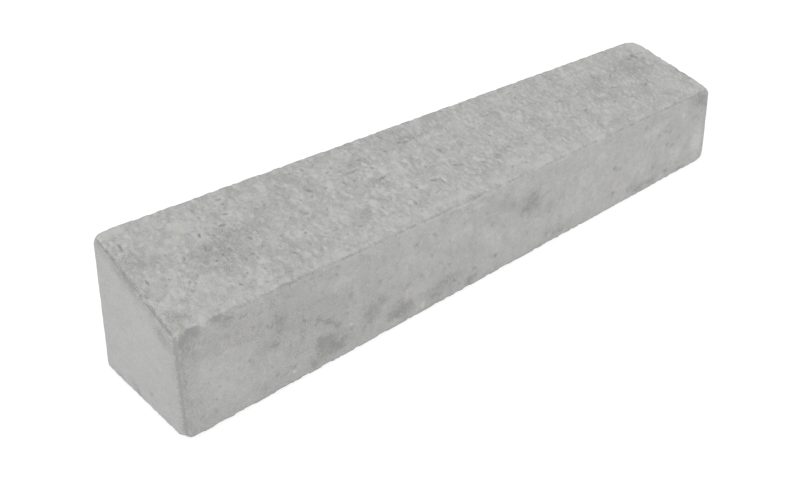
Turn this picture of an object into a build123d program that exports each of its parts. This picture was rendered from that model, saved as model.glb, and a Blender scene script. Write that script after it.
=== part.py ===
"""A precast concrete kerb stone, cast as one piece: a straight bar with a sloped top.

The frame: X runs along the kerb, Y from the low front face to the high back face, and Z up.
The origin is at the middle of the bed face, the flat underside that the kerb stands on.
Sizes are in millimetres and angles in degrees.
"""

from build123d import *

import os
from math import radians, tan

# Driving sizes of the kerb, to its sharp edges before they are rounded
length = 1000.0
base_width = 170.0
back_height = 175.0
front_height = 125.0

# Lean of all four sides, which lets the kerb out of its mould
draft_angle = 3.0

# Rounding of every arris, the edge where two faces of the kerb meet
arris_radius = 5.0

front_y = -base_width / 2
back_y = base_width / 2

# How far a side leans in for each millimetre of height
lean = tan(radians(draft_angle))


def moulded_block():
    """The sharp-edged block, as high as the back edge, with its four sides leaning in."""
    return extrude(Rectangle(length, base_width), amount=back_height, taper=draft_angle)


def sloped_top():
    """The plane of the top, through the front edge and the higher back edge."""
    front_edge = Vector(0, front_y + lean * front_height, front_height)
    back_edge = Vector(0, back_y - lean * back_height, back_height)
    along = Vector(1, 0, 0)
    return Plane(origin=front_edge, x_dir=along, z_dir=along.cross(back_edge - front_edge))


def cast_kerb():
    """The block cut down to its sloped top, with every arris rounded."""
    sharp_kerb = split(moulded_block(), bisect_by=sloped_top(), keep=Keep.BOTTOM)
    return fillet(sharp_kerb.edges(), arris_radius)


kerb_stone = cast_kerb()
kerb_stone.label = "kerb_stone"

os.makedirs("parts", exist_ok=True)
export_step(kerb_stone, "parts/kerb_stone.step")
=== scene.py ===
"""The looks of a precast concrete kerb stone: a rough, pitted top and smoother cast sides.

Lengths are in metres in the shared frame, and places on the faces of the kerb are in millimetres.
"""

from math import radians

import bpy
import numpy as np
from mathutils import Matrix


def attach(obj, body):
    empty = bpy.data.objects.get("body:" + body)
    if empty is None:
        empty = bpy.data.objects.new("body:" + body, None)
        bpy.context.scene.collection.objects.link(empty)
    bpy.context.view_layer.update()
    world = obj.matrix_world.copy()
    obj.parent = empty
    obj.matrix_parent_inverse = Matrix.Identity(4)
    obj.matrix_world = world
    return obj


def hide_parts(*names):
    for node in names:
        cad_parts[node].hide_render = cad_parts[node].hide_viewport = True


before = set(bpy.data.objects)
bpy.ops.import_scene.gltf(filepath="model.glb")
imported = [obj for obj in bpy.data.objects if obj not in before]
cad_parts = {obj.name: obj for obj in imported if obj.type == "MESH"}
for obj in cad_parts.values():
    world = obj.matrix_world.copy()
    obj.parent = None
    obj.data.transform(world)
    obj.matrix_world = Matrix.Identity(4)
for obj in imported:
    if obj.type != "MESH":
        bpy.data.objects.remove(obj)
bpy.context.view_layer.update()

mm = 0.001

# The camera, standing at the near end of the kerb, in front of its low face
camera_place = (-0.7809, -0.6941, 0.6032)
camera_heading = 43.32
camera_dip = 30.0
camera_lens = 38.31

# The lamp, with its angles in degrees, the light from all round, and the floor
lamp_strength = 1.41
lamp_softness = 30
lamp_tilt = 63
lamp_heading = -53
sky_strength = 0.72
floor_half_width = 12.0
floor_glow = 0.74
floor_grey_lighting = (0.8, 0.8, 0.8, 1.0)
floor_grey_seen = (0.36, 0.36, 0.36, 1.0)

# The mesh: how far apart its points are, in millimetres, and how many triangles it keeps
step_near = 1.4
step_far = 3.0
step_across = 1.75
step_at_edges = 1.1
edge_strip = 8.0
most_triangles = 197000

# Rounding of the arrises and of the eight worn corners, in millimetres
arris_radius = 5.15
arris_change = 0.8
back_arris_wear = 1.6
back_arris_reach = (6, 12)
corner_radius = {
    "near back top": 9.2,
    "near back bed": 7.0,
    "near front bed": 9.9,
    "near front top": 8.0,
    "far back top": 14.6,
    "far front top": 7.0,
    "far front bed": 10.8,
    "far back bed": 10.0,
}
rounding_steps = 8

# How deep under a face its marks fade out, in millimetres
mark_depth = (2.5, 5.5)

# Marks: the size of the waves that make their outlines ragged, and the seeds of these waves
ragged_size = 9.0
ragged_seeds = (90, 95)

# Spots: how far their slope reaches beyond their outline, and where it begins
spot_reach = 1.7
spot_start = -0.35


# Repeatable random patterns

word = 0xFFFFFFFF
seed_prime = 3266489917
mixing_prime = 2246822519
cell_primes = (374761393, 668265263)


def scatter(*cells, seed):
    """A random number from 0 to 1 for each cell of a grid, always the same for the same cell."""
    mixed = np.full(cells[0].shape, (seed * seed_prime) & word, dtype=np.uint32)
    for cell, prime in zip(cells, cell_primes):
        mixed = mixed ^ (cell.astype(np.int64) * prime & word).astype(np.uint32)
        mixed = mixed ^ (mixed >> np.uint32(15))
        mixed = mixed * np.uint32(mixing_prime)
        mixed = mixed ^ (mixed >> np.uint32(13))
    return mixed / float(word)


def eased(share):
    """A rise from 0 to 1 that starts and ends gently."""
    return share * share * share * (share * (share * 6 - 15) + 10)


def lumps(u, v, size, seed):
    """Smooth random noise from 0 to 1, with lumps about as wide as the size."""
    u, v = u / size, v / size
    column, row = np.floor(u).astype(int), np.floor(v).astype(int)
    across, down = eased(u - column), eased(v - row)
    rows = []
    for below in (0, 1):
        left = scatter(column, row + below, seed=seed)
        right = scatter(column + 1, row + below, seed=seed)
        rows.append(left * (1 - across) + right * across)
    return rows[0] * (1 - down) + rows[1] * down


def turned(u, v, angle):
    """Places measured along and beside a direction that is turned by an angle."""
    along = u * np.cos(angle) + v * np.sin(angle)
    return along, v * np.cos(angle) - u * np.sin(angle)


def layered(u, v, size, seed, layers=3):
    """Layers of noise, each half as large and half as strong as the one before, about 0 to 1."""
    first_turn, turn_step, seed_step = 0.5, 0.7, 17
    total, weight = 0.0, 0.0
    for layer in range(layers):
        share = 0.5 ** layer
        along, beside = turned(u, v, first_turn + turn_step * layer)
        total = total + share * lumps(along, beside, size * share, seed + seed_step * layer)
        weight += share
    return total / weight


def ramp(value, low, high):
    """A smooth rise from 0 at low to 1 at high."""
    share = np.clip((value - low) / (high - low), 0, 1)
    return share * share * (3 - 2 * share)


def oval(u, v, length, width, turn):
    """0 in the middle of an oval, 1 on its outline and more beyond it."""
    along, beside = turned(u, v, turn)
    return np.sqrt((along / length) ** 2 + (beside / width) ** 2)


def pits(u, v, spacing, share, widths, stretch, seed, turns=(0, 180)):
    """Random pits, one at most in each square of a grid: 1 in the middle of a pit, 0 outside."""
    margin = 0.15
    flat_middle = 0.25
    column, row = np.floor(u / spacing).astype(int), np.floor(v / spacing).astype(int)
    found = np.zeros(u.shape)
    for right in (-1, 0, 1):
        for below in (-1, 0, 1):
            i, j = column + right, row + below
            chance = [scatter(i, j, seed=seed + number) for number in range(6)]
            middle_u = (i + margin + (1 - 2 * margin) * chance[0]) * spacing
            middle_v = (j + margin + (1 - 2 * margin) * chance[1]) * spacing
            width = widths[0] + (widths[1] - widths[0]) * chance[2] ** 2
            length = width * (1 + (stretch - 1) * chance[3])
            turn = np.radians(turns[0] + (turns[1] - turns[0]) * chance[4])
            reach = oval(u - middle_u, v - middle_v, length, width, turn)
            pit = np.where(chance[5] < share, 1 - ramp(reach, flat_middle, 1.0), 0)
            found = np.maximum(found, pit)
    return found


def marks(u, v, places, ragged, soft=0.35, wider=1.0):
    """Marks at chosen places: the strength of each in its middle, falling to 0 at its outline."""
    shift_u, shift_v = ((layered(u, v, ragged_size, seed) - 0.5) * ragged for seed in ragged_seeds)
    u, v = u + shift_u, v + shift_v
    found = np.zeros(u.shape)
    for middle_u, middle_v, half_length, half_width, strength, *turn in places:
        length, width = wider * half_length, wider * half_width
        widest = max(length, width)
        right, down = u - middle_u, v - middle_v
        nearby = np.flatnonzero((np.abs(right) < widest) & (np.abs(down) < widest))
        angle = radians(turn[0]) if turn else 0
        reach = oval(right[nearby], down[nearby], length, width, angle)
        found[nearby] = np.maximum(found[nearby], strength * (1 - ramp(reach, soft, 1.0)))
    return found


def spots(u, v, places, ragged):
    """Marks with a slope of even steepness round them, for the material to cut ragged spots from."""
    return marks(u, v, places, ragged, soft=spot_start, wider=spot_reach)


# The block: the six flat faces of the solid, read from the frame


def read_values(items, name, size, kind=float):
    """A property of all items of a mesh as an array, one row for each item."""
    values = np.empty(len(items) * size, dtype=kind)
    items.foreach_get(name, values)
    return values.reshape(-1, size)


def flat_faces(node):
    """The outward normal of each of the six flat faces and its distance from the origin."""
    straight_enough = 0.9
    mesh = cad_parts[node].data
    mesh.calc_loop_triangles()
    triangles = mesh.loop_triangles
    normals = read_values(triangles, "normal", 3)
    areas = read_values(triangles, "area", 1)[:, 0]
    first_corners = read_values(mesh.vertices, "co", 3)[read_values(triangles, "vertices", 3, int)[:, 0]]
    found = {}
    sides = (("near", "far"), ("front", "back"), ("bed", "top"))
    for axis, names in enumerate(sides):
        for name, sign in zip(names, (-1, 1)):
            facing = np.flatnonzero(normals[:, axis] * sign > straight_enough)
            kinds, member = np.unique(np.round(normals[facing], 3), axis=0, return_inverse=True)
            area_of_kind = np.bincount(member.ravel(), weights=areas[facing])
            chosen = facing[member.ravel() == area_of_kind.argmax()]
            biggest = chosen[areas[chosen].argmax()]
            normal = normals[biggest] / np.linalg.norm(normals[biggest])
            found[name] = (normal, float(normal @ first_corners[biggest]))
    return found


flats = flat_faces("kerb_stone")
flat_names = list(flats)
flat_normals = np.array([normal for normal, distance in flats.values()])
flat_distances = np.array([distance for normal, distance in flats.values()])


def sharp_corner(name):
    """The point where the three flat faces of a corner's name would meet."""
    chosen = [flat_names.index(flat) for flat in name.split()]
    return np.linalg.solve(flat_normals[chosen], flat_distances[chosen])


corners = {name: sharp_corner(name) for name in corner_radius}
block_middle = np.mean(list(corners.values()), axis=0)


def unit(vector):
    """The vector at a length of 1."""
    return vector / np.linalg.norm(vector)


def face_axes(name, start, towards):
    """A face's origin, its first axis towards another corner and its second axis across that."""
    first = unit(corners[towards] - corners[start])
    second = np.cross(flats[name][0], first)
    second = second * np.sign((block_middle - corners[start]) @ second)
    return corners[start], first, second


# The four upright faces and the top are each measured from one of their corners, in millimetres:
# first along the first axis, then across it, both growing inwards
axes = {
    "top": face_axes("top", "near back top", "far back top"),
    "front": face_axes("front", "near front top", "far front top"),
    "back": face_axes("back", "near back top", "far back top"),
    "near": face_axes("near", "near back top", "near front top"),
    "far": face_axes("far", "far back top", "far front top"),
}


def on_face(name, points):
    """How far along and across a face the points are, in millimetres."""
    start, first, second = axes[name]
    return (points - start) @ first / mm, (points - start) @ second / mm


def depth_under(name, points):
    """How far the points are inside a face's plane, in millimetres."""
    normal, distance = flats[name]
    return (distance - points @ normal) / mm


def close_to(name, points):
    """1 on a face and its arrises, falling to 0 further inside."""
    return 1 - ramp(depth_under(name, points), *mark_depth)


def rounding(points):
    """The rounding radius at each point, larger towards the worn corners."""
    along, across = points[:, 0] / mm, (points[:, 1] + points[:, 2]) / mm
    radius = arris_radius + arris_change * layered(along, across, size=60.0, seed=3)
    by_top, by_back = (1 - ramp(depth_under(name, points), *back_arris_reach) for name in ("top", "back"))
    radius = radius + back_arris_wear * (by_top * by_back)
    for place, worn in corner_radius.items():
        gap = np.linalg.norm(points - corners[place], axis=1) / mm
        radius = radius + np.maximum(worn - radius, 0) * (1 - ramp(gap, 0.5 * worn, 1.6 * worn))
    return radius * mm


def beyond(points, radius):
    """How far each point is outside the rounded block, and the way out of it."""
    over = np.maximum(points @ flat_normals.T - flat_distances + radius[:, None], 0)
    size = np.linalg.norm(over, axis=1)
    way_out = over @ flat_normals
    way_out = way_out / np.linalg.norm(way_out, axis=1)[:, None]
    return size - radius, way_out


def onto_block(points):
    """The points moved onto the rounded block, with the outward direction at each."""
    radius = rounding(points)
    for step in range(rounding_steps):
        outside, way_out = beyond(points, radius)
        points = points - outside[:, None] * way_out
    return points, beyond(points, radius)[1]


def shares(way_out):
    """How much each face owns each point: 1 on the face itself, shared on an arris."""
    sharpness = 4
    facing = np.maximum(way_out @ flat_normals.T, 0) ** sharpness
    facing = facing / facing.sum(axis=1)[:, None]
    return dict(zip(flat_names, facing.T))


# What the photograph shows on each face, in millimetres on that face. Each mark is
# (along, across, half length, half width, strength), with its turn in degrees last where it has one.

# Pits and short grooves in the top, from the near end to the far end
top_pits = [
    (15, 34, 8, 1.9, 0.9, 95), (13, 89, 5, 2.1, 1, 90), (17, 20, 3, 1.7, 0.5), (34, 97, 4, 2.1, 0.9, 45),
    (10, 116, 4, 1.7, 0.5, 90), (48, 111, 5, 1.2, 0.9, 120), (54, 113, 3, 1.2, 0.8, 80),
    (47, 65, 2, 1.7, 0.6), (76, 24, 3, 1.5, 0.7), (107, 34, 3, 1.4, 0.8, 100), (141, 19, 4, 1.7, 1),
    (141, 28, 3, 1.3, 0.5), (135, 42, 4, 1.6, 0.9, 20), (93, 57, 4, 1.9, 1, 110),
    (122, 55, 5.5, 1.6, 1.1, 5), (130, 70, 4, 1.3, 0.7), (106, 65, 1.8, 1.4, 0.7),
    (88, 76, 5, 1.3, 0.9, 118), (61, 80, 7, 1.4, 0.7, 125), (74, 75, 5, 2.5, 0.5),
    (110, 90, 4, 1.3, 0.9, 75), (138, 86, 5, 1.5, 1, 75), (88, 98, 2.5, 1.7, 0.9),
    (99, 98, 9, 1.2, 0.9, 88), (142, 103, 3, 1.4, 0.9, 70), (116, 110, 4, 1.7, 0.8, 80),
    (128, 115, 3, 1.3, 0.8, 90), (101, 120, 4, 1.2, 0.5), (105, 127, 2.2, 1.7, 0.9),
    (126, 132, 1.9, 1.4, 0.8), (91, 137, 3, 1.7, 1, 20), (117, 148, 3, 1.5, 0.8),
    (146, 148, 5, 1.4, 0.6, 20), (169, 154, 5, 1.7, 0.5), (195, 109, 4, 1.7, 0.8, -10),
    (209, 124, 4, 1.9, 0.7), (225, 116, 3, 1.3, 0.6), (178, 31, 2, 1.5, 0.7), (219, 37, 2, 1.4, 0.6),
    (177, 55, 5, 1.3, 0.7, 90), (169, 99, 2.6, 1.4, 0.8, 70), (201, 99, 3, 1.4, 0.6, 80),
    (242, 55, 4, 2.9, 1.1, 130), (239, 64, 5, 1.4, 0.7, 110), (239, 19, 3, 1.5, 0.6),
    (239, 33, 6, 2.1, 0.4, 60), (222, 62, 5, 2, 0.5, 90), (246, 75, 4, 2.1, 0.4),
    (160, 45, 4, 1.4, 0.6, -30), (210, 48, 3, 1.3, 0.5, 90), (257, 20, 3, 2, 0.7, 60),
    (281, 38, 3, 1.5, 1, 110), (262, 60, 4, 2.5, 0.7), (288, 64, 4, 1.7, 0.7, 100),
    (302, 66, 5, 1.7, 0.6, 90), (257, 131, 5, 1.5, 0.9), (275, 87, 4, 2.5, 0.4), (313, 52, 17, 1.6, 0.8),
    (338, 57, 3.5, 2.1, 0.9, 60), (333, 38, 5, 2, 0.7, 20), (375, 40, 4, 2, 0.8, 30),
    (365, 31, 3, 1.6, 0.7, 60), (388, 16, 5, 1.7, 0.7, 70), (377, 9, 2, 1.4, 0.9),
    (404, 34, 4, 1.6, 1.1, 15), (413, 37, 14, 1.6, 0.8, 3), (448, 34, 15, 1.4, 0.6),
    (395, 47, 3, 1.4, 0.8, -40), (448, 16, 3, 1.4, 0.6, -30), (469, 19, 3, 1.4, 0.7, -60),
    (484, 40, 3, 1.4, 0.7, -40), (444, 71, 6, 2, 0.8, 65), (440, 103, 6, 1.6, 0.7, 15),
    (452, 107, 5, 1.4, 0.6), (465, 100, 4, 1.4, 0.6), (481, 117, 4, 1.7, 0.7, 10),
    (402, 88, 5, 2.1, 0.5, -60), (415, 92, 7, 1.9, 0.5, 10), (335, 78, 13, 1.6, 0.8, -4),
    (330, 87, 3, 1.4, 0.6), (394, 112, 7, 1.8, 1, 15), (404, 120, 6, 1.6, 0.8, 75),
    (364, 112, 3.4, 1.6, 1, 60), (320, 113, 4, 1.7, 0.8, -50), (343, 133, 6, 1.9, 0.7, 120),
    (341, 146, 1.8, 1.4, 0.9), (309, 142, 4, 2.5, 0.5), (360, 154, 5, 2.5, 0.4), (377, 153, 2.5, 1.7, 0.5),
    (442, 136, 3, 1.7, 0.5), (495, 104, 5, 1.9, 0.6, -30), (506, 8, 6, 1.5, 0.9, 5), (523, 11, 3, 2.5, 0.6),
    (547, 8, 6, 1.4, 0.8), (633, 20, 6, 1.8, 0.8, 10), (651, 22, 4, 1.7, 0.7), (655, 13, 5, 1.7, 0.5),
    (721, 25, 3.5, 1.9, 0.7), (731, 23, 4, 1.7, 0.8, -20), (748, 17, 4, 2.5, 0.6),
    (637, 32, 5, 1.9, 0.9, 125), (635, 45, 5, 1.7, 0.5, 90), (644, 54, 8, 1.5, 0.6, -8),
    (645, 63, 3, 2.1, 0.7, 60), (656, 57, 4, 1.5, 0.6, -30), (565, 44, 9, 1.5, 0.6),
    (555, 42, 4, 1.7, 0.6, 60), (533, 46, 4, 1.6, 0.7), (519, 58, 14, 1.6, 0.5, 5), (510, 58, 3, 1.7, 0.6),
    (545, 59, 4, 1.7, 0.5), (575, 59, 4, 2.5, 0.4), (608, 56, 10, 1.6, 0.6, -5), (558, 70, 3, 2.2, 0.5),
    (532, 80, 5, 2.5, 0.6, 60), (692, 68, 4.5, 1.9, 0.7, -30), (699, 69, 4, 2.5, 0.7, 60),
    (745, 69, 4, 3.4, 0.7), (693, 92, 3.5, 2.5, 0.6), (720, 103, 6, 1.9, 0.8, -15), (682, 104, 3, 1.7, 0.6),
    (650, 108, 9, 1.8, 0.5, 10), (632, 103, 8, 1.5, 0.6, -5), (575, 104, 6, 2, 0.6, 15),
    (537, 109, 7, 1.9, 0.8, -5), (512, 115, 7, 2, 0.6, 45), (568, 115, 5, 2, 0.7),
    (625, 137, 4, 2, 0.8, 95), (636, 140, 4, 1.7, 0.6), (643, 147, 3, 1.9, 0.5, 45),
    (512, 142, 6, 1.9, 0.7, -20), (536, 145, 4, 2.3, 0.7), (575, 141, 5, 2.5, 0.4),
    (541, 158, 2.5, 1.7, 0.7), (776, 13, 3, 1.7, 0.8), (752, 20, 5, 2.5, 0.5), (795, 76, 7, 1.9, 0.6, 95),
    (819, 84, 7, 2.2, 0.7, 30), (806, 45, 6, 2, 0.5), (838, 60, 7, 2, 0.6, -40), (860, 53, 6, 3, 0.6),
    (895, 39, 5, 2.2, 0.8, -30), (931, 37, 9, 5.5, 1.2, 20), (917, 41, 8, 3.5, 0.7), (937, 43, 6, 3, 0.7),
    (900, 65, 8, 3.4, 0.6, 100), (936, 62, 10, 2.5, 0.5, 95), (915, 86, 5, 2, 0.7),
    (882, 102, 9, 2.7, 0.7, -15), (893, 95, 5, 2, 0.6, -50), (948, 37, 4, 2, 0.6), (958, 37, 4, 1.9, 0.5),
    (948, 50, 6, 2.4, 0.5, 90), (945, 72, 6, 2.4, 0.5), (957, 97, 5, 2, 0.5), (825, 113, 7, 2, 0.6),
    (858, 118, 10, 2.5, 0.35, 90), (813, 125, 7, 2, 0.5, -20), (785, 110, 6, 2, 0.5, -20),
    (770, 138, 3, 2, 0.5), (782, 149, 6, 1.7, 0.6, -10), (857, 136, 3, 1.9, 0.6),
]

# Stones just under the cement skin of the top, which make low pale knobs
top_knobs = [
    (120, 97, 8, 6, 0.4), (130, 121, 8, 6, 0.4), (200, 136, 9, 7, 0.3), (327, 66, 9, 8, 0.9),
    (347, 68, 9, 8, 1), (321, 98, 7, 9, 1.1), (335, 105, 7, 7, 0.8), (299, 106, 7, 7, 0.9),
    (290, 117, 6, 6, 0.9), (357, 102, 5, 6, 1.1), (372, 114, 7, 7, 0.8), (309, 127, 6, 5, 0.8),
    (338, 129, 6, 6, 0.7), (352, 42, 6, 5, 0.8), (333, 47, 4, 5, 0.7), (407, 118, 4, 6, 1),
    (448, 120, 8, 7, 0.7), (477, 108, 6, 6, 0.8), (491, 120, 5, 6, 0.8), (447, 95, 6, 8, 0.7),
    (475, 65, 9, 4, 0.7), (466, 45, 5, 5, 0.6), (448, 42, 8, 6, 0.6), (388, 67, 7, 5, 0.6),
    (402, 68, 5, 5, 0.6), (432, 88, 8, 6, 0.6), (475, 88, 8, 6, 0.6), (510, 100, 4, 8, 0.7),
    (540, 98, 10, 8, 0.7), (525, 50, 6, 4, 0.6), (605, 68, 7, 6, 0.7), (650, 87, 12, 7, 0.6, -30),
    (643, 45, 6, 6, 0.7), (655, 34, 5, 8, 0.6), (736, 66, 6, 7, 0.6), (780, 88, 10, 8, 0.7),
    (772, 75, 5, 5, 0.6), (812, 68, 4, 8, 0.8), (862, 85, 6, 4, 0.8), (760, 110, 4, 6, 0.9),
    (868, 128, 4, 8, 0.6), (925, 60, 7, 8, 0.6),
]

# Lime on the top, where the cement skin is palest
top_lime = [
    (80, 36, 13, 10, 1.5, 20), (70, 27, 7, 3, 0.6, 40), (91, 46, 7, 3, 0.6, 40),
    (52, 30, 18, 2.5, 0.45, 90), (8, 12, 9, 6, 1.2), (20, 9, 13, 5, 0.8), (45, 20, 9, 4, 0.6),
    (60, 72, 14, 4, 0.5, -50), (15, 84, 3, 7, 0.5), (33, 155, 5, 10, 0.9), (75, 143, 9, 8, 0.5),
    (95, 155, 48, 5, 0.6), (60, 125, 20, 14, 0.3), (180, 155, 60, 5, 0.3), (360, 150, 110, 9, 0.45),
    (535, 147, 115, 16, 0.42), (650, 150, 70, 12, 0.36), (408, 148, 12, 6, 0.9), (421, 152, 8, 5, 1),
    (375, 151, 9, 5, 0.6), (462, 152, 12, 5, 0.8), (478, 156, 9, 6, 0.9), (480, 143, 9, 4, 0.5),
    (550, 150, 90, 10, 0.4), (523, 138, 13, 8, 1.1), (531, 152, 8, 7, 0.8), (548, 157, 11, 6, 1.1),
    (570, 152, 10, 10, 1.3), (570, 126, 10, 4, 0.5), (597, 134, 7, 5, 0.9), (598, 155, 6, 4, 0.7),
    (683, 158, 11, 3.5, 0.9), (668, 154, 8, 4, 0.5), (708, 58, 8, 4, 0.7), (765, 54, 14, 1.8, 0.8, -8),
    (943, 63, 4.5, 5.5, 1.1), (971, 20, 13, 18, 2.4, -10), (955, 44, 8, 5, 0.6, 40), (974, 146, 9, 9, 1.1),
    (958, 115, 7, 16, 0.5), (905, 125, 36, 9, 0.35, -5), (850, 156, 35, 5, 0.35), (790, 155, 40, 6, 0.3),
]

# Parts of the top with thinner, darker skin
top_shade = [
    (130, 72, 44, 26, 0.75), (112, 92, 52, 40, 0.5), (75, 88, 16, 18, 0.4), (90, 114, 9, 8, 0.3),
    (12, 142, 21, 18, 0.6), (22, 144, 4, 12, 0.4), (10, 52, 8, 24, 0.35), (22, 62, 20, 18, 0.25),
    (243, 56, 10, 12, 0.5), (330, 44, 44, 12, 0.5), (325, 78, 34, 9, 0.4), (300, 60, 14, 20, 0.3),
    (275, 120, 22, 18, 0.42), (345, 135, 10, 9, 0.4), (362, 108, 7, 12, 0.4), (398, 115, 16, 8, 0.6, 20),
    (425, 32, 48, 10, 0.6), (410, 15, 34, 8, 0.3), (378, 40, 16, 10, 0.4), (412, 90, 20, 8, 0.4),
    (445, 75, 8, 14, 0.4), (448, 104, 20, 8, 0.5, 10), (495, 100, 14, 10, 0.4), (520, 110, 24, 10, 0.5),
    (530, 60, 30, 10, 0.15), (560, 112, 30, 10, 0.35), (580, 45, 40, 10, 0.12), (640, 104, 34, 9, 0.1),
    (700, 70, 14, 10, 0.4), (725, 104, 18, 12, 0.15), (700, 16, 60, 9, 0.25), (785, 68, 42, 34, 0.7),
    (805, 92, 40, 26, 0.5), (837, 62, 28, 28, 0.6), (760, 96, 20, 16, 0.7), (806, 52, 17, 17, 0.9),
    (840, 115, 24, 14, 0.4), (865, 120, 16, 22, 0.5), (900, 62, 50, 40, 0.75), (928, 40, 20, 12, 1.1),
    (924, 42, 28, 16, 0.6), (938, 60, 16, 28, 0.8), (868, 100, 30, 14, 0.6), (975, 112, 6, 24, 0.8),
    (958, 97, 8, 5, 0.5), (830, 30, 60, 18, 0.2),
]

# Dark stains on the front: soot and moss in the rough of the cast face
front_stains = [
    (12, 8, 9, 5, 1.6, -15), (21, 5, 10, 5.5, 1.9), (13, 18, 11, 14, 0.5, 10), (48, 2, 9, 5, 1.2),
    (62, 6, 7, 4, 1, 10), (56, 1, 6, 2, 0.7), (66, 3, 3, 2, 0.8), (78, 13, 9, 2.2, 0.9, -10),
    (98, 18, 3, 2.4, 0.9), (98, -1, 4, 2, 0.8), (121, 7, 2.4, 2.4, 1.1), (131, 16, 5, 2, 0.9, 60),
    (127, 11, 3, 1.6, 0.7, 45), (140, 0, 10, 2.5, 0.4), (87, 31, 3.4, 1.8, 0.9), (116, 30, 6, 3.5, 0.7, 60),
    (103, 38, 4, 5, 0.8), (108, 41, 2.3, 2.3, 1.1), (122, 36, 9, 2, 0.8), (118, 52, 7, 2.6, 0.7, 50),
    (111, 65, 6, 3, 0.9, 10), (69, 60, 3.4, 3, 0.7), (62, 40, 3, 6, 0.4), (93, 79, 2.4, 5, 0.5),
    (151, 52, 6, 2, 0.9, 25), (168, 61, 7, 4.6, 1.2, -20), (184, 71, 17, 3, 0.95, 38),
    (195, 79, 5.5, 4.6, 1.2), (130, 103, 4, 2.6, 1.2), (120, 106, 3.4, 2.4, 0.9),
    (109, 100, 4.4, 1.8, 0.9, -20), (78, 90, 2.2, 2, 1), (171, 89, 8, 10, 1.5), (183, 90, 7, 4, 0.8),
    (189, 102, 12, 6, 1.5, 30), (196, 109, 9, 4, 1.3, 10), (158, 114, 8, 6, 1.2), (176, 108, 26, 10, 0.6),
    (155, 107, 6, 3, 0.9), (145, 89, 10, 1.7, 0.6, -5), (213, 93, 4, 2, 1), (210, 73, 3.4, 2.4, 0.9),
    (238, 86, 9, 4, 0.6), (259, 79, 7, 2.6, 0.6, -20), (250, 73, 10, 1.7, 0.4), (282, 109, 13, 8, 0.8),
    (272, 101, 3.4, 3, 0.9), (293, 108, 6, 4, 0.9), (302, 103, 11, 6, 0.75), (292, 94, 12, 2.6, 0.8, 35),
    (298, 117, 6, 3, 0.9), (295, 75, 7, 4, 0.4), (322, 96, 4, 2.2, 0.9, 10), (326, 119, 5, 1.8, 0.8),
    (345, 108, 5, 2, 0.8, 10), (357, 112, 5, 3.2, 1), (366, 96, 12, 1.8, 0.6), (374, 106, 5, 2.2, 0.8, -20),
    (383, 102, 3.6, 2, 1.1, 10), (378, 111, 6, 3.6, 0.6, 20), (410, 115, 9, 4, 0.6, 20),
    (424, 51, 3, 1.4, 0.6, 40), (367, 14, 5, 2.2, 0.7), (406, 12, 5, 3.6, 0.6), (452, 13, 4, 2.2, 0.7, -20),
    (412, 73, 3.4, 2.4, 0.6, 20), (449, 31, 10, 2.2, 0.7, 12), (470, 38, 9, 5, 0.4),
    (490, 36, 16, 1.7, 0.6), (345, 44, 8, 6, 0.4, 20), (415, 0, 4, 2, 0.6), (435, 1, 2.6, 2, 0.8),
    (508, 28, 4.4, 2.2, 0.7), (510, 1, 4, 2, 0.9), (529, 42, 12, 9, 0.5, 20), (525, 54, 8, 9, 0.75),
    (536, 36, 9, 5, 0.6), (523, 51, 3, 3, 1.2), (528, 57, 2.4, 2.4, 1.2), (552, 33, 4.4, 3.4, 0.8),
    (566, 43, 11, 4, 0.6), (541, 71, 7, 2.8, 0.7, 15), (570, 75, 9, 2.4, 0.5, 30), (533, 10, 2.6, 3.4, 0.8),
    (572, 22, 5, 2, 0.5), (566, 109, 7, 3.6, 0.8, 10), (604, 113, 9, 3.4, 0.7), (535, 112, 14, 4, 0.4),
    (527, 88, 5, 2.1, 0.5), (503, 100, 5, 2.1, 0.5), (550, 119, 50, 2, 0.9), (707, 37, 4.4, 2, 0.5, 20),
    (728, 40, 4.4, 2.4, 0.5, 20), (711, 2, 5, 4, 0.8), (738, 0, 4, 3.4, 1.2), (808, 1, 4, 2.4, 0.6),
    (765, 3, 3, 6, 0.4), (827, 68, 3, 2, 0.7), (838, 67, 4, 2, 0.6, 30), (832, 95, 4.6, 3.2, 0.8),
    (838, 90, 10, 2, 0.6), (822, 85, 6, 2, 0.5, 10), (850, 100, 14, 3, 0.4, 10), (766, 108, 9, 4, 0.7),
    (800, 113, 14, 3.6, 0.7), (826, 112, 14, 3, 0.8, -15), (872, 109, 8, 3.2, 1), (903, 106, 10, 2.2, 0.5),
    (919, 118, 16, 3.6, 1.3, -5), (800, 120, 10, 2.2, 1), (857, -1, 4, 2, 0.7), (884, -1, 9, 3, 1),
    (935, 3, 14, 4, 1), (955, 5, 18, 8, 0.65), (955, 9, 4, 3, 0.9), (965, 18, 18, 10, 0.5, 30),
    (982, 25, 6, 4, 0.9), (972, 34, 7, 3.4, 0.7, 30), (950, 40, 10, 4, 0.5),
]

# Shallow dents that air has left in the front, darker on their shaded side, with painted shade inside them
# as well
front_dents = [
    (217, 52, 6, 5, 0.9), (232, 103, 8, 5, 0.8, 100), (328, 73, 7, 5, 0.9, 30), (322, 28, 6, 5, 0.7),
    (351, 26, 8, 4, 0.7, 50), (455, 51, 8, 5, 0.9, 20), (461, 98, 7, 5, 0.9, 20), (421, 101, 8, 5, 0.7, 10),
    (600, 93, 9, 5, 0.9, 20), (728, 61, 10, 5, 1, 25), (729, 101, 10, 5, 1, 25), (804, 19, 10, 4, 0.8, 18),
    (871, 64, 7, 5, 1.2, 10), (888, 70, 8, 4.5, 1, -12), (863, 41, 5, 4, 0.9, 20),
    (877, 45, 9, 3.5, 0.7, 12), (844, 41, 6, 3, 0.7, 20), (868, 30, 6, 5, 0.5),
]

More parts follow.
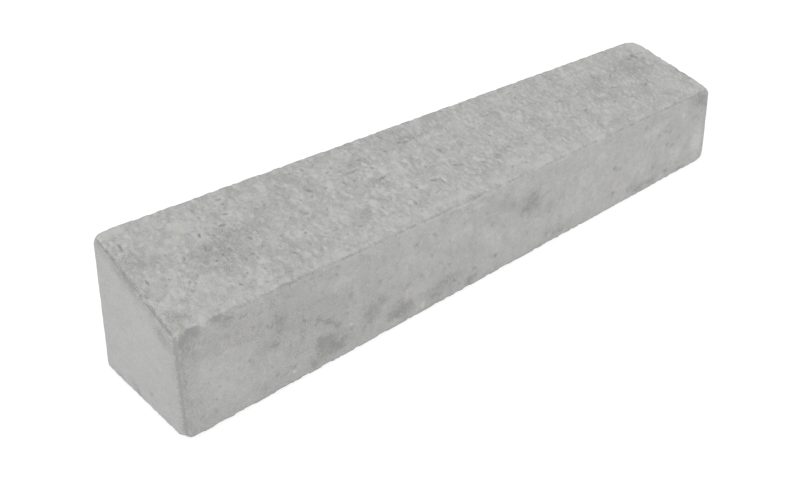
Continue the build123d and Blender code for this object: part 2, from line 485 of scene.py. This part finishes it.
# Lime on the front
front_lime = [
    (50, 68, 64, 46, 0.45, 35), (68, 75, 17, 10, 0.45, 45), (42, 88, 15, 10, 0.5), (26, 25, 14, 8, 0.35),
    (33, 0, 4, 6, 0.9), (212, 88, 5, 2.6, 1.2, -20), (326, 113, 5, 4, 1.2), (130, 109, 5, 3, 1, 30),
    (200, 28, 36, 14, 0.35, 10), (142, 42, 10, 3, 0.5, 10), (140, 68, 16, 6, 0.35, -10),
    (405, 5, 48, 2.2, 0.7, 2), (430, 16, 20, 8, 0.45), (395, 35, 50, 25, 0.15), (300, 45, 40, 20, 0.25),
    (455, 70, 40, 20, 0.3), (495, 77, 10, 14, 0.35), (650, 60, 40, 50, 0.15), (705, 58, 14, 10, 0.25),
    (700, 30, 40, 25, 0.2), (795, 41, 5, 4.5, 0.9), (820, 30, 40, 12, 0.4), (840, 25, 17, 6, 0.6),
    (790, 80, 40, 18, 0.25), (885, 79, 10, 3, 0.8), (900, 88, 30, 12, 0.4), (900, 97, 14, 5, 0.6),
    (965, 85, 26, 32, 0.8), (815, 104, 12, 3, 0.6, -20), (590, 4, 16, 2.6, 0.5), (908, 28, 14, 7, 0.4),
]

# Broad darker parts of the front
front_shade = [
    (90, 60, 330, 120, 0.36), (330, 60, 330, 120, 0.1), (15, 22, 17, 11, 0.35), (55, 12, 20, 12, 0.5),
    (6, 70, 6, 45, 0.35), (18, 105, 22, 14, 0.55), (50, 116, 24, 6, 0.4), (90, 108, 10, 11, 0.5),
    (117, 38, 24, 20, 0.75), (112, 62, 20, 12, 0.9), (95, 30, 12, 16, 0.6), (150, 55, 18, 10, 0.7, 30),
    (185, 70, 24, 8, 0.8, 40), (140, 88, 34, 12, 0.5), (120, 102, 34, 14, 0.4), (182, 98, 42, 26, 0.9),
    (242, 86, 24, 26, 0.7), (262, 76, 18, 10, 0.7), (325, 100, 24, 14, 0.4), (290, 102, 36, 20, 0.9),
    (300, 76, 14, 7, 0.5), (345, 108, 20, 12, 0.6), (370, 98, 44, 18, 0.6), (415, 112, 22, 9, 0.7),
    (411, 116, 12, 6, 0.8, 20), (408, 86, 10, 3, 0.4, -15), (418, 100, 11, 7, 0.4), (391, 30, 3, 7, 0.6),
    (402, 28, 2, 5, 0.5), (400, 38, 5, 2, 0.5, 20), (796, 42, 13, 12, 0.55), (170, 5, 90, 8, 0.4),
    (322, 28, 9, 8, 0.4), (350, 30, 8, 14, 0.4), (348, 45, 12, 7, 0.4), (480, 30, 40, 12, 0.5, 12),
    (500, 40, 30, 14, 0.6), (530, 48, 40, 26, 1.1, 15), (575, 66, 44, 17, 0.4, 20), (600, 60, 14, 12, 0.4),
    (460, 98, 14, 8, 0.4), (590, 108, 50, 11, 0.55), (730, 62, 14, 8, 0.4, 20), (728, 102, 16, 8, 0.5, 10),
    (810, 110, 60, 9, 0.6), (838, 92, 16, 8, 0.4), (875, 66, 18, 10, 0.4, 20), (872, 109, 14, 6, 0.5),
    (955, 14, 44, 19, 0.8, 12), (905, 56, 14, 10, 0.45), (950, 40, 14, 6, 0.4), (868, 42, 16, 6, 0.4, 10),
]

# Dark chips in the arris over the near end, and pinholes in that end
end_chips = [
    (14, 3, 3.4, 2, 1), (31, 1.8, 3.2, 1.4, 1.4), (42, 1.8, 4, 1.5, 1.4, -10), (66, 1.8, 3.2, 1.4, 1.4),
    (90, 1.6, 2.4, 1.2, 1.1), (100, 3, 4, 1.6, 1.1, 90), (123, 2.2, 8, 1.7, 1.2, 8),
    (136, 1.5, 5, 1.3, 0.9), (152, 1.5, 9, 1.6, 1.4),
]
end_pinholes = [
    (170, 94, 3.2, 2.2, 1, -30), (138, 114, 2.4, 2.2, 0.9), (58, 126, 2.4, 1.7, 0.5),
    (48, 82, 2.6, 1.6, 0.5, -30), (94, 38, 1.7, 1.5, 0.5), (41, 43, 1.6, 1.5, 0.5), (36, 22, 2, 1.6, 0.4),
    (99, 58, 2, 1.5, 0.4), (138, 92, 2.2, 1.5, 0.4, 60), (123, 97, 1.8, 1.5, 0.4), (146, 89, 1.8, 1.5, 0.4),
    (13, 19, 2.2, 2, 0.7),
]
end_shade = [
    (80, 6, 92, 12, 0.4), (107, 8, 18, 5, 0.3), (70, 20, 10, 8, 0.2), (107, 25, 5, 6, 0.25),
    (145, 18, 26, 14, 0.6), (170, 50, 6, 14, 0.3), (75, 152, 14, 7, 0.7), (110, 138, 22, 8, 0.7, 15),
    (135, 116, 9, 6, 0.4),
]


# The relief, in millimetres

# Random pits, each kind as (spacing, share of places with one, half widths, stretch, seed, turns),
# where the last ones can be left out
small_pores = (8.0, 0.40, (1.0, 2.0), 2.6, 11, (60, 150))
large_pores = (19.0, 0.35, (1.4, 2.8), 2.4, 23, (60, 150))
small_stones = (13.0, 0.75, (3.5, 6.5), 2.0, 37, (70, 130))
large_stones = (17.0, 0.6, (4.5, 7.5), 1.9, 43, (60, 120))
arris_nicks = (9.0, 0.35, (1.0, 2.4), 1.5, 67)
front_specks = (12.0, 0.5, (1.4, 3.2), 2.0, 83)
end_specks = (10.0, 0.5, (0.8, 1.4), 1.3, 97)
side_pores = (24.0, 0.3, (0.8, 1.6), 1.5)

# Heights and depths on the top, where each mark's strength is its depth
top_wave_height = 0.4
top_rough_height = 0.9
top_stone_height = 0.9
top_pore_depth = 0.6
top_lift = 0.6
hollow_reach = 4.0
hollow_directions = 6

# Heights and depths on the cast sides and the arrises
side_wave_height = 0.35
side_skin_height = 0.2
side_pore_depth = 0.4
side_lift = 0.2
front_dent_depth = 1.3
front_stain_depth = 0.25
pinhole_depth = 0.5
arris_chip_depth = 0.5
arris_nick_depth = 0.6
end_chip_depth = 0.7
deepest_wear = 1.6


def top_pores(along, across):
    """Small random pits in the top, thicker on the ground in the near half."""
    near_half = 1 - 0.4 * ramp(along, 250, 620)
    small, large = pits(along, across, *small_pores), pits(along, across, *large_pores)
    return np.maximum(small * 0.6, large * 0.8) * near_half


def top_stones(along, across):
    """Stones under the cement skin of the top: 1 on the middle of a stone, 0 between them."""
    some = 0.6 * pits(along, across, *small_stones)
    more = 0.5 * pits(along + 0.4 * across, across, *large_stones)
    return np.maximum(np.maximum(some, more), marks(along, across, top_knobs, ragged=3.0, soft=0.2))


def top_height(along, across):
    """Height of the top over its plane."""
    waves = layered(along, across, size=70.0, seed=31) - 1
    rough = layered(along, across / 1.6, size=7.5, seed=41) - 1
    stones = top_stones(along, across) - 1
    height = top_wave_height * waves + top_rough_height * rough + top_stone_height * stones
    height = height - marks(along, across, top_pits, ragged=2.0)
    return height - top_pore_depth * top_pores(along, across) + top_lift


def top_hollows(along, across):
    """How deep each place of the top lies under its surroundings."""
    around = 0.0
    for number in range(hollow_directions):
        turn = number * 2 * np.pi / hollow_directions
        right, down = hollow_reach * np.cos(turn), hollow_reach * np.sin(turn)
        around = around + top_height(along + right, across + down) / hollow_directions
    return around - top_height(along, across)


def side_height(along, across, seed):
    """Height of a cast side over its plane."""
    waves = layered(along, across, size=60.0, seed=seed) - 1
    skin = layered(along, across, size=14.0, seed=seed + 3) - 1
    pores = pits(along, across, *side_pores, seed=seed + 7)
    return side_wave_height * waves + side_skin_height * skin - side_pore_depth * pores + side_lift


# Each arris by its two faces: how much it is worn, a thin line of dirt and painted shade along it
# (strength, place, width) and a fading painted shade on each face (strength, reach), both paler where
# negative, in millimetres
no_shade = (0.0, 1.0)
bed_line = (0.3, 0.0, 2.0)
end_line = (0.4, 0.0, 1.6)
arrises = {
    "front bed": (1.0, bed_line, (0.25, 8.0), no_shade),
    "back bed": (1.0, bed_line, (0.25, 8.0), no_shade),
    "near bed": (1.5, bed_line, (0.25, 4.0), no_shade),
    "far bed": (1.0, bed_line, (0.25, 4.0), no_shade),
    "top back": (1.0, (-0.25, 0.0, 2.0), (-0.12, 6.0), (-0.1, 6.0)),
    "top far": (1.4, (0.0, 0.0, 1.0), (-0.2, 8.0), no_shade),
    "front far": (0.6, end_line, (0.15, 9.0), (0.15, 6.0)),
    "back far": (0.6, end_line, (0.15, 9.0), (0.15, 6.0)),
    "back near": (0.5, end_line, (0.15, 9.0), (0.10, 5.0)),
    "near top": (0.5, (1.9, 1.7, 0.9), (0.5, 10.0), no_shade),
    "front near": (0.4, (4.2, 0.9, 1.0), (0.5, 8.0), (0.45, 8.0)),
    "front top": (0.3, (0.55, 0.4, 2.8), no_shade, (-0.15, 14.0)),
}


def arris_wear(points, owned):
    """How deep each arris is worn: uneven along the arris, even across it."""
    wear = np.zeros(len(points))
    row_step, contrast = 40.0, 12
    for number, (name, (strength, *stains)) in enumerate(arrises.items()):
        one, other = name.split()
        along = points @ unit(np.cross(flats[one][0], flats[other][0])) / mm
        shared = np.minimum(3 * np.sqrt(owned[one] * owned[other]), 1)
        uneven = layered(along, np.full(len(points), row_step * number), size=8.0, seed=61, layers=2)
        worn = np.clip(contrast * (uneven - 0.5), 0, deepest_wear)
        wear = np.maximum(wear, strength * shared * worn)
    return wear


def arris_damage(points, owned):
    """How deep the random chips and nicks in the arrises are."""
    largest = np.maximum.reduce(list(owned.values()))
    on_arris = ramp(1 - largest, 0.05, 0.45)
    along, across = points[:, 0] / mm, (points[:, 1] + 0.7 * points[:, 2]) / mm
    chips = ramp(layered(along, across, size=7.0, seed=79, layers=2), 0.45, 0.8)
    nicks = pits(along, across, *arris_nicks)
    return on_arris * (arris_chip_depth * chips + arris_nick_depth * nicks)


def relief(points, owned):
    """The height of the surface over the rounded block, never above it."""
    height = owned["top"] * np.minimum(top_height(*on_face("top", points)), 0)
    for number, name in enumerate(("front", "back", "near", "far")):
        place = on_face(name, points)
        side = side_height(*place, seed=50 + 20 * number)
        if name == "front":
            side = side - front_dent_depth * marks(*place, front_dents, ragged=3.0, soft=0.0)
            side = side - front_stain_depth * marks(*place, front_stains, ragged=8.0)
        if name == "near":
            side = side - pinhole_depth * marks(*place, end_pinholes, ragged=1.0)
        height += owned[name] * np.minimum(side, 0)
    broken = close_to("near", points) * marks(*on_face("near", points), end_chips, ragged=2.0)
    height = height - arris_wear(points, owned) - arris_damage(points, owned)
    return height - end_chip_depth * broken


# The mesh


def spaced(length, first_step, last_step):
    """Places from 0 to 1 along a length in millimetres, closer together near both ends."""
    strip = np.arange(0, edge_strip, step_at_edges)
    middle_length = length - 2 * edge_strip
    count = int(2 * middle_length / (first_step + last_step))
    steps = np.linspace(first_step, last_step, count)
    middle = edge_strip + np.concatenate([[0], np.cumsum(steps)]) * middle_length / steps.sum()
    return np.concatenate([strip, middle, (length - strip)[::-1]]) / length


def surface_grid(counts):
    """The points and four-sided faces of a box's surface, as whole steps along its three axes."""
    blocks = []
    for axis in range(3):
        first, second = (axis + 1) % 3, (axis + 2) % 3
        for level in (0, counts[axis]):
            i, j = np.meshgrid(np.arange(counts[first]), np.arange(counts[second]), indexing="ij")
            quad = []
            for right, up in ((0, 0), (1, 0), (1, 1), (0, 1)):
                place = np.zeros(i.shape + (3,), dtype=int)
                place[..., axis] = level
                place[..., first] = i + right
                place[..., second] = j + up
                quad.append(place.reshape(-1, 3))
            if level == 0:
                quad.reverse()
            blocks.append(np.stack(quad, axis=1))
    quads = np.concatenate(blocks)
    keys = (quads[..., 0] * (counts[1] + 1) + quads[..., 1]) * (counts[2] + 1) + quads[..., 2]
    unique, used, index = np.unique(keys.ravel(), return_index=True, return_inverse=True)
    return quads.reshape(-1, 3)[used], index.reshape(-1, 4)


def block_points(steps, spacings):
    """The points of the surface grid, spread over the sharp-edged block."""
    a, b, c = (spacing[steps[:, axis]] for axis, spacing in enumerate(spacings))
    points = np.zeros((len(steps), 3))
    for end, share_x in (("near", 1 - a), ("far", a)):
        for side, share_y in (("front", 1 - b), ("back", b)):
            for level, share_z in (("bed", 1 - c), ("top", c)):
                corner = corners[f"{end} {side} {level}"]
                points += (share_x * share_y * share_z)[:, None] * corner
    return points


def block_edge(one, other):
    """The distance between two corners, in millimetres."""
    return np.linalg.norm(corners[one] - corners[other]) / mm


def block_surface():
    """The points of the rounded block with its relief, and its four-sided faces."""
    spacings = [
        spaced(block_edge("far front bed", "near front bed"), step_near, step_far),
        spaced(block_edge("near back bed", "near front bed"), step_across, step_across),
        spaced(block_edge("near back top", "near back bed"), step_across, step_across),
    ]
    steps, quads = surface_grid([len(spacing) - 1 for spacing in spacings])
    points, way_out = onto_block(block_points(steps, spacings))
    return points + relief(points, shares(way_out))[:, None] * mm * way_out, quads


def thinned(item, share):
    """An object's mesh with a share of its triangles, the fewest where it is flat."""
    modifier = item.modifiers.new("thin", "DECIMATE")
    modifier.ratio = share
    bpy.context.view_layer.update()
    mesh = bpy.data.meshes.new_from_object(item.evaluated_get(bpy.context.evaluated_depsgraph_get()))
    item.modifiers.clear()
    return mesh


def keep_inside(mesh):
    """Points that thinning has pushed out of the rounded block are moved back onto it."""
    points = read_values(mesh.vertices, "co", 3)
    outside, way_out = beyond(points, rounding(points))
    points = points - np.maximum(outside, 0)[:, None] * way_out
    mesh.vertices.foreach_set("co", points.ravel())
    mesh.update()


def new_object(name, data):
    """An object in the scene."""
    item = bpy.data.objects.new(name, data)
    bpy.context.scene.collection.objects.link(item)
    return item


def kerb_mesh():
    """The kerb: the rounded block with its relief, thinned out where it shows least."""
    points, quads = block_surface()
    full = bpy.data.meshes.new("kerb_skin")
    full.from_pydata(points, [], quads, shade_flat=False)
    kerb = new_object("kerb_skin", full)
    kerb.data = thinned(kerb, most_triangles / (2 * len(quads)))
    kerb.data.name = "kerb_skin"
    bpy.data.meshes.remove(full)
    keep_inside(kerb.data)
    kerb.data.shade_smooth()
    return kerb


# The values painted on the mesh for the material to read

pore_darkness = 0.5
# Painted shade in the hollows of the top
hollow_painted_shade = 0.9
usual_hollow = 0.1
knob_paleness = 0.6
# Painted shade in the dents of the front
dent_painted_shade = 0.5
speck_darkness = 0.5


def arris_dirt_and_shade(points):
    """Dirt and painted shade along the arrises: positive is darker, negative is paler."""
    stain_and_shade = np.zeros(len(points))
    along, across = points[:, 0] / mm, (points[:, 1] + points[:, 2]) / mm
    patchy = ramp(layered(along, across, size=9.0, seed=71), 0.25, 0.75)
    for name, (wear, (line, place, width), shade_one, shade_other) in arrises.items():
        one, other = name.split()
        from_one, from_other = depth_under(one, points), depth_under(other, points)
        on_one, on_other = close_to(one, points), close_to(other, points)
        # A thin line of dirt and painted shade along the arris
        profile = np.exp(-(((from_other - from_one - place) / width) ** 2))
        stain_and_shade += line * on_one * on_other * profile * (0.4 + 1.2 * patchy)
        # Painted shade fading into each face from the arris, paler where negative
        shade = shade_one[0] * on_one * np.exp(-from_other / shade_one[1])
        shade += shade_other[0] * on_other * np.exp(-from_one / shade_other[1])
        stain_and_shade += shade * (0.7 + 0.6 * patchy)
    return stain_and_shade


def paint_top(points, owned):
    """The spots, the stains with painted shade in the hollows, and the lime of the top."""
    place, here = on_face("top", points), close_to("top", points)
    spot = here * spots(*place, top_pits, ragged=2.0)
    spot = np.maximum(spot, owned["top"] * pore_darkness * top_pores(*place))
    stain_and_shade = here * marks(*place, top_shade, ragged=14.0, soft=0.0)
    # Painted shade in the hollows of the top, darker where they lie deeper
    stain_and_shade += owned["top"] * hollow_painted_shade * (top_hollows(*place) - usual_hollow)
    stain_and_shade -= here * knob_paleness * marks(*place, top_knobs, ragged=4.0, soft=0.6)
    lime = here * spots(*place, top_lime, ragged=8.0)
    return spot, stain_and_shade, lime


def paint_front(points, owned):
    """The spots of the front, and its stains with painted shade in the dents."""
    place, here = on_face("front", points), close_to("front", points)
    spot = here * spots(*place, front_stains, ragged=7.0)
    stain_and_shade = here * marks(*place, front_shade, ragged=14.0, soft=0.0)
    stain_and_shade -= here * marks(*place, front_lime, ragged=10.0, soft=0.1)
    # Painted shade in the dents
    stain_and_shade += here * dent_painted_shade * marks(*place, front_dents, ragged=4.0, soft=0.2)
    stain_and_shade += owned["front"] * speck_darkness * pits(*place, *front_specks)
    return spot, stain_and_shade


def paint_near_end(points, owned):
    """The spots and the stain of the near end."""
    place, here = on_face("near", points), close_to("near", points)
    spot = here * spots(*place, end_chips, ragged=3.0)
    spot = np.maximum(spot, here * spots(*place, end_pinholes, ragged=1.0))
    spot = np.maximum(spot, owned["near"] * speck_darkness * pits(*place, *end_specks))
    stain_and_shade = here * marks(*place, end_shade, ragged=6.0, soft=0.0)
    return spot, stain_and_shade


def paint(mesh):
    """The spots, the stains with painted shade, the lime and the kind of face of each point of the mesh."""
    points = read_values(mesh.vertices, "co", 3)
    owned = shares(beyond(points, rounding(points))[1])
    top_spot, top_stain_and_shade, lime = paint_top(points, owned)
    front_spot, front_stain_and_shade = paint_front(points, owned)
    end_spot, end_stain = paint_near_end(points, owned)
    values = {
        "spot": np.maximum(np.maximum(top_spot, front_spot), end_spot),
        # Stains together with the painted shade of the hollows, dents and arrises
        "stain_and_shade": top_stain_and_shade + front_stain_and_shade + end_stain + arris_dirt_and_shade(points),
        "lime": lime,
        "top_share": owned["top"],
        "end_share": owned["near"] + owned["far"],
    }
    for name, value in values.items():
        layer = mesh.attributes.new(name, "FLOAT", "POINT")
        layer.data.foreach_set("value", value.astype(np.float32))


# The material


class Nodes:
    """A short way to write the nodes of a material or of the world."""

    def __init__(self, owner):
        owner.use_nodes = True
        self.tree = owner.node_tree
        self.tree.nodes.clear()

    def add(self, kind, inputs, **settings):
        """A node with its settings, whose inputs are values or the outputs of other nodes."""
        node = self.tree.nodes.new("ShaderNode" + kind)
        for name, value in settings.items():
            setattr(node, name, value)
        for key, value in inputs.items():
            if isinstance(value, bpy.types.NodeSocket):
                self.tree.links.new(value, node.inputs[key])
            else:
                node.inputs[key].default_value = value
        return node

    def math(self, operation, *values):
        """One step of arithmetic on numbers."""
        return self.add("Math", dict(enumerate(values)), operation=operation).outputs[0]

    def plus(self, one, other):
        """The sum of two numbers."""
        return self.math("ADD", one, other)

    def minus(self, one, other):
        """The first number less the second."""
        return self.math("SUBTRACT", one, other)

    def times(self, one, other):
        """The product of two numbers."""
        return self.math("MULTIPLY", one, other)

    def spread(self, *value_and_ranges):
        """A value moved from one range to another, and held within it."""
        return self.add("MapRange", dict(enumerate(value_and_ranges))).outputs[0]

    def noise(self, place, size, detail, rough, warp=0.0):
        """Noise whose lumps are about as wide as the size, in metres."""
        shape = {"Scale": 1 / size, "Detail": detail, "Roughness": rough, "Distortion": warp}
        return self.add("TexNoise", {"Vector": place, **shape}).outputs[0]

    def read(self, name):
        """A value painted on the mesh."""
        return self.add("Attribute", {}, attribute_name=name).outputs["Fac"]

    def mix(self, share, first, second, blend="MIX"):
        """A colour between two colours, or their product."""
        colours = {0: share, 6: first, 7: second}
        return self.add("Mix", colours, data_type="RGBA", blend_type=blend).outputs[2]

    def seen(self):
        """1 where the camera sees, also mirrored or through glass, and 0 for light that falls on things."""
        rays = self.add("LightPath", {}).outputs
        seen = self.math("MAXIMUM", rays["Is Camera Ray"], rays["Is Glossy Ray"])
        return self.math("MAXIMUM", seen, rays["Is Transmission Ray"])


base_colour = (0.4425, 0.442, 0.4355, 1.0)
# Each face's tint is partly its own hue and partly painted light and shade, which sets how bright that face
# looks
side_tint_and_lighting = (1.003, 1.0, 1.005, 1.0)
end_tint_and_lighting = (0.989, 0.990, 1.006, 1.0)
top_tint_and_lighting = (0.985, 0.984, 0.987, 1.0)
yellowish = (1.004, 1.004, 0.905, 1.0)
bluish = (0.998, 0.998, 1.031, 1.0)
pinkish = (1.007, 0.997, 0.999, 1.0)
greenish = (0.998, 1.001, 0.996, 1.0)

# How bright the concrete can be, and how bright its lime is, with its plain skin at 1
darkest_tone = 0.68
palest_tone = 1.20
lime_tone = 1.17

# Spots and lime are cut from their painted slopes between two values, along a ragged line
spot_cut = (0.12, 0.45)
lime_cut = (0.15, 0.5)
raggedness = 1.6

# How dark the darkest spot is on the sides and on the top, and how much the thickest lime covers
darkest_spot = (0.27, 0.42)
thickest_lime = 0.85

# How strongly each pattern shows on the long sides, on the ends and on the top
pattern_strengths = {
    "grit": (0.80, 0.86, 1.32),
    "fine": (0.17, 0.16, 0.26),
    "flakes": (0.010, 0.0, 0.045),
    "middling": (0.18, 0.12, 0.22),
    "coarse": (0.23, 0.14, 0.40),
    "cloud": (0.16, 0.10, 0.14),
}


def noise_patterns(nodes):
    """The noises in the concrete: the place they follow, lump size in metres, detail, roughness, warp."""
    place = nodes.add("TexCoord", {}).outputs["Object"]
    slant = {"Vector": place, "Rotation": (0.3, radians(35), 0.2), "Scale": (0.8, 0.6, 1.1)}
    slanted = nodes.add("Mapping", slant).outputs[0]
    return {
        "grain": nodes.noise(place, 0.0014, 1.0, 0.8),
        "fine": nodes.noise(slanted, 0.0032, 1.0, 1.0, 0.3),
        "middling": nodes.noise(slanted, 0.009, 1.0, 0.9, 0.8),
        "coarse": nodes.noise(slanted, 0.024, 1.0, 0.9, 0.8),
        "cloud": nodes.noise(place, 0.090, 2.0, 0.7, 0.5),
        "speck": nodes.noise(place, 0.0026, 2.0, 0.8),
        "tinge": nodes.noise(place, 0.0026, 1.0, 0.9),
        "blush": nodes.noise(place, 0.012, 2.0, 0.9),
    }


def clean_tone(nodes, noise, top_share, end_share):
    """How bright the clean skin is: 1 with its patterns round it, and more grit where stains and painted
    shade darken it.
    """
    busy = nodes.spread(nodes.read("stain_and_shade"), -0.4, 1.6, 0.30, 1.40)
    grit = nodes.plus(nodes.times(nodes.minus(noise["grain"], 0.5), busy), 0.5)
    flakes = nodes.spread(noise["middling"], 0.42, 0.58, 0, 1)
    patterns = {**noise, "grit": grit, "flakes": flakes}
    tone = 1.0
    for name, (side, end, top) in pattern_strengths.items():
        strength = nodes.spread(top_share, 0, 1, side, top)
        strength = nodes.plus(strength, nodes.times(end_share, end - side))
        tone = nodes.plus(tone, nodes.times(nodes.minus(patterns[name], 0.5), strength))
    return tone


def worn_tone(nodes, noise, tone, top_share):
    """The tone with its stains and painted shade, lime and dark spots, and how much lime covers each place.
    """
    ragged = nodes.times(nodes.minus(noise["speck"], 0.5), raggedness)
    darkest = nodes.spread(top_share, 0, 0.5, *darkest_spot)
    spot = nodes.spread(nodes.plus(nodes.read("spot"), ragged), *spot_cut, 0, 1)
    spot = nodes.times(spot, nodes.spread(nodes.read("spot"), 0.02, 1.2, 0.04, darkest))
    lime = nodes.spread(nodes.plus(nodes.read("lime"), ragged), *lime_cut, 0, thickest_lime)
    lime = nodes.times(lime, nodes.spread(nodes.read("lime"), 0.02, 0.2, 0, 1))
    patches = nodes.spread(noise["middling"], 0.3, 0.7, 0.02, 0.30)
    specks = nodes.spread(noise["speck"], 0.3, 0.7, 0, 0.22)
    # Stains and painted shade darken the tone
    tone = nodes.minus(tone, nodes.times(nodes.read("stain_and_shade"), nodes.plus(patches, specks)))
    tone = nodes.plus(tone, nodes.times(lime, nodes.minus(lime_tone, tone)))
    tone = nodes.minus(tone, spot)
    return nodes.spread(tone, darkest_tone, palest_tone, darkest_tone, palest_tone), lime


def skin_colour(nodes, noise, lime, top_share, end_share):
    """The base colour with yellowish and bluish grains, faint broad hues and the tint of each face, which
    is partly painted light and shade.
    """
    tinge = nodes.spread(noise["tinge"], 0.36, 0.52, -0.6, 0.4)
    tinge = nodes.minus(tinge, nodes.times(lime, 0.1))
    tinge = nodes.times(tinge, nodes.spread(top_share, 0, 1, 0.8, 1.12))
    tinge = nodes.spread(nodes.plus(tinge, 0.6), 0, 1, 0, 1)
    grains = nodes.mix(tinge, yellowish, bluish)
    hue = nodes.mix(nodes.spread(noise["blush"], 0.35, 0.65, 0, 1), greenish, pinkish)
    # Painted light and shade by face, with each face's own hue
    face_tint_and_lighting = nodes.mix(top_share, nodes.mix(end_share, side_tint_and_lighting, end_tint_and_lighting), top_tint_and_lighting)
    tint = nodes.mix(1.0, nodes.mix(1.0, hue, grains, "MULTIPLY"), face_tint_and_lighting, "MULTIPLY")
    return nodes.mix(1.0, base_colour, tint, "MULTIPLY")


def concrete():
    """Cast concrete: grey cement skin with grit, pores, stains and lime, in the object's own space."""
    material = bpy.data.materials.new("concrete")
    nodes = Nodes(material)
    top_share, end_share = nodes.read("top_share"), nodes.read("end_share")
    noise = noise_patterns(nodes)
    tone, lime = worn_tone(nodes, noise, clean_tone(nodes, noise, top_share, end_share), top_share)
    colour = skin_colour(nodes, noise, lime, top_share, end_share)
    raised = nodes.plus(nodes.times(noise["grain"], 0.5), noise["fine"])
    bump = nodes.add("Bump", {"Strength": 0.4, "Distance": 0.0008, "Height": raised})
    surface = {
        "Base Color": nodes.add("VectorMath", {0: colour, 3: tone}, operation="SCALE").outputs[0],
        "Roughness": nodes.spread(noise["coarse"], 0.3, 0.7, 0.84, 0.95),
        "Normal": bump.outputs[0],
        "Specular IOR Level": 0.25,
    }
    shader = nodes.add("BsdfPrincipled", surface)
    nodes.add("OutputMaterial", {"Surface": shader.outputs[0]})
    return material


# The kerb takes the place of its plain solid

kerb = kerb_mesh()
paint(kerb.data)
kerb.data.materials.append(concrete())
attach(kerb, "root")
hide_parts("kerb_stone")


# The floor, the light and the camera


def floor():
    """A wide white floor that keeps a faint shadow of the kerb."""
    low, high = -floor_half_width, floor_half_width
    mesh = bpy.data.meshes.new("floor")
    mesh.from_pydata([(low, low, 0), (high, low, 0), (high, high, 0), (low, high, 0)], [], [(0, 1, 2, 3)])
    ground = new_object("floor", mesh)
    material = bpy.data.materials.new("floor")
    nodes = Nodes(material)
    seen = nodes.seen()
    grey = nodes.mix(seen, floor_grey_lighting, floor_grey_seen)
    dull = nodes.add("BsdfDiffuse", {"Color": grey})
    glow = nodes.add("Emission", {"Strength": nodes.times(seen, floor_glow)})
    both = nodes.add("AddShader", {0: dull.outputs[0], 1: glow.outputs[0]})
    nodes.add("OutputMaterial", {"Surface": both.outputs[0]})
    mesh.materials.append(material)


def light():
    """Even white light from all round, and one soft lamp from beyond the near end."""
    world = bpy.data.worlds.new("studio")
    nodes = Nodes(world)
    strength = nodes.spread(nodes.seen(), 0, 1, sky_strength, 1.0)
    sky = nodes.add("Background", {"Color": (1, 1, 1, 1), "Strength": strength})
    nodes.add("OutputWorld", {"Surface": sky.outputs[0]})
    bpy.context.scene.world = world
    lamp = bpy.data.lights.new("soft_lamp", "SUN")
    lamp.energy = lamp_strength
    lamp.angle = radians(lamp_softness)
    holder = new_object("soft_lamp", lamp)
    holder.rotation_euler = (radians(lamp_tilt), 0, radians(lamp_heading))


def camera():
    """The camera at the photograph's angle."""
    data = bpy.data.cameras.new("camera")
    data.lens = camera_lens
    data.clip_start = 0.01
    holder = new_object("camera", data)
    holder.location = camera_place
    holder.rotation_euler = (radians(90 - camera_dip), 0, radians(-camera_heading))
    bpy.context.scene.camera = holder


floor()
light()
camera()
bpy.context.scene.view_settings.view_transform = "Standard"
